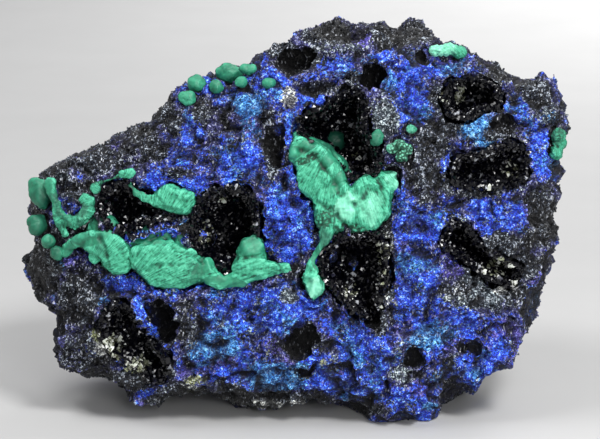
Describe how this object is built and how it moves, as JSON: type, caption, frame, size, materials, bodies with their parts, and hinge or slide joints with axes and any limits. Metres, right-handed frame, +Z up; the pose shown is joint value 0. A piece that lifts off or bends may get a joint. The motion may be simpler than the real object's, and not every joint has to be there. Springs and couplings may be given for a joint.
{
  "type": "mineral specimen",
  "caption": "Azurite specimen with malachite: a vuggy blue lump with druse-lined hollows and green botryoidal malachite, resting on a flat base.",
  "frame": {"origin": "bottom centre of the bounding box, at the level the lump rests on", "axes": "+Z up, +X across the broken face to the right seen from in front of it, -Y out of the broken face towards the viewer; the face leans back 15 degrees from upright"},
  "size_m": [0.1252, 0.0684, 0.0874],
  "materials": {
    "azurite": "matt, velvety",
    "druse": "glassy crystals",
    "malachite": "satin"
  },
  "bodies": {
    "root": {"azurite_mass": "azurite", "druse_far_left": "druse", "druse_left": "druse", "druse_lower_left": "druse", "druse_middle": "druse", "druse_oval": "druse", "druse_right": "druse", "druse_upper": "druse", "druse_upper_right": "druse", "malachite_ball_deep": "malachite", "malachite_ball_left": "malachite", "malachite_ball_shaded_lower": "malachite", "malachite_ball_shaded_upper": "malachite", "malachite_ball_side": "malachite", "malachite_chip_right": "malachite", "malachite_crest": "malachite", "malachite_crumbs": "malachite", "malachite_fan": "malachite", "malachite_ledge": "malachite", "malachite_lip": "malachite", "malachite_nodule_chip": "malachite", "malachite_nodule_front": "malachite", "malachite_nodule_large": "malachite", "malachite_nodule_rear": "malachite", "malachite_nodule_small": "malachite", "malachite_nodule_stain": "malachite", "malachite_nodule_tail": "malachite", "malachite_nodules_right": "malachite", "malachite_rosette": "malachite", "malachite_saddle": "malachite", "malachite_seam": "malachite", "malachite_slab": "malachite"}
  },
  "joints": []
}
